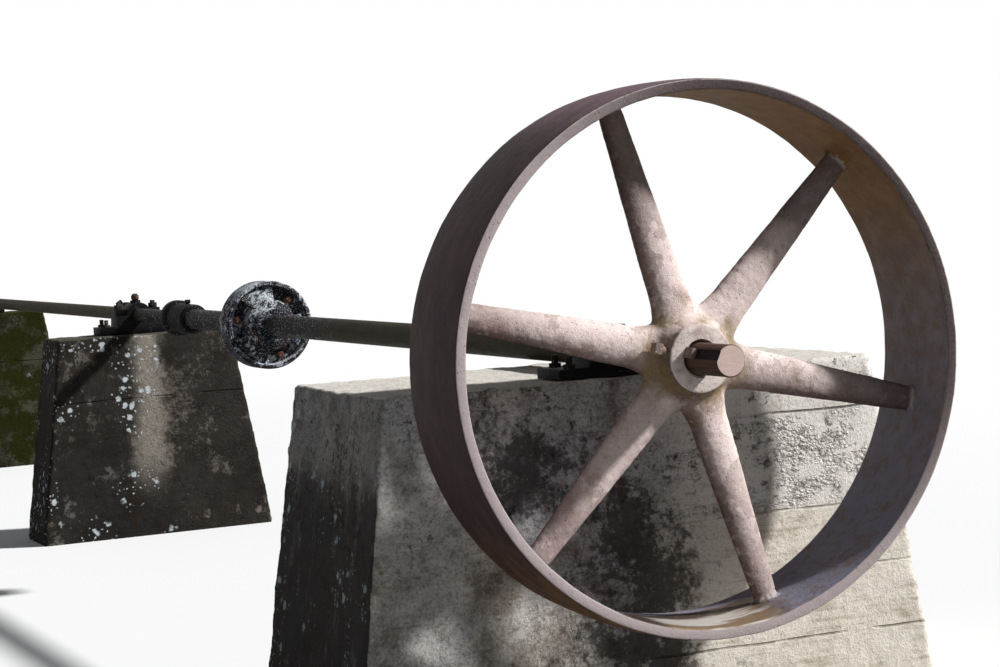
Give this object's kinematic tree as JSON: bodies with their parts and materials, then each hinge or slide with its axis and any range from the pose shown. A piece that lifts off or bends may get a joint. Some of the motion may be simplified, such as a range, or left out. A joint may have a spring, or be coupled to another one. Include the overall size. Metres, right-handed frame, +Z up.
{
  "type": "belt pulley on a line shaft",
  "caption": "Large arm-spoked cast-iron flat-belt pulley keyed on a long line shaft that turns in plain bearings on battered concrete piers.",
  "frame": {"origin": "on the floor under the shaft's axis, at the middle of the near pier's base", "axes": "+Y along the shaft, away from the pulley; +X across the shaft, to the right when looking along +Y; +Z up"},
  "size_m": [1.4826, 8.4545, 1.4595],
  "materials": {
    "near_concrete": "weathered board-marked concrete, rough, black mould and lichen",
    "middle_concrete": "weathered concrete, rough, black stain on one side",
    "far_concrete": "weathered concrete, rough, moss",
    "bearing_iron": "old black grease and dark rust",
    "shaft_steel": "dull brown rust and grime",
    "pulley_iron": "rusted brown cast iron with pale bloom",
    "coupling_iron": "dark rust with pale lichen specks",
    "collar_iron": "black grease and dark rust",
    "fittings_steel": "rusted steel"
  },
  "bodies": {
    "foundation": {"near_pier": "near_concrete", "middle_pier": "middle_concrete", "far_pier": "far_concrete", "near_bearing_base": "bearing_iron", "near_bearing_cap": "bearing_iron", "near_foot_studs": "fittings_steel", "near_cap_bolts": "fittings_steel", "near_oil_cup": "fittings_steel", "middle_bearing_base": "bearing_iron", "middle_bearing_cap": "bearing_iron", "middle_foot_studs": "fittings_steel", "middle_cap_bolts": "fittings_steel", "middle_oil_cup": "fittings_steel", "far_bearing_base": "bearing_iron", "far_bearing_cap": "bearing_iron", "far_foot_studs": "fittings_steel", "far_cap_bolts": "fittings_steel", "far_oil_cup": "fittings_steel"},
    "line_shaft": {"main_shaft": "shaft_steel", "shaft_key": "fittings_steel", "belt_pulley": "pulley_iron", "hub_set_screw": "fittings_steel", "coupling_near_half": "coupling_iron", "coupling_far_half": "coupling_iron", "coupling_bolts": "fittings_steel", "tail_shaft": "shaft_steel", "reducing_collar": "collar_iron", "reducing_collar_screw": "fittings_steel", "thrust_collar": "collar_iron", "thrust_collar_screw": "fittings_steel"}
  },
  "joints": [
    {"name": "shaft_spin", "type": "hinge", "parent": "foundation", "child": "line_shaft", "pos_m": [0, 0, 0.85], "axis": [0, 1, 0], "continuous": true}
  ]
}
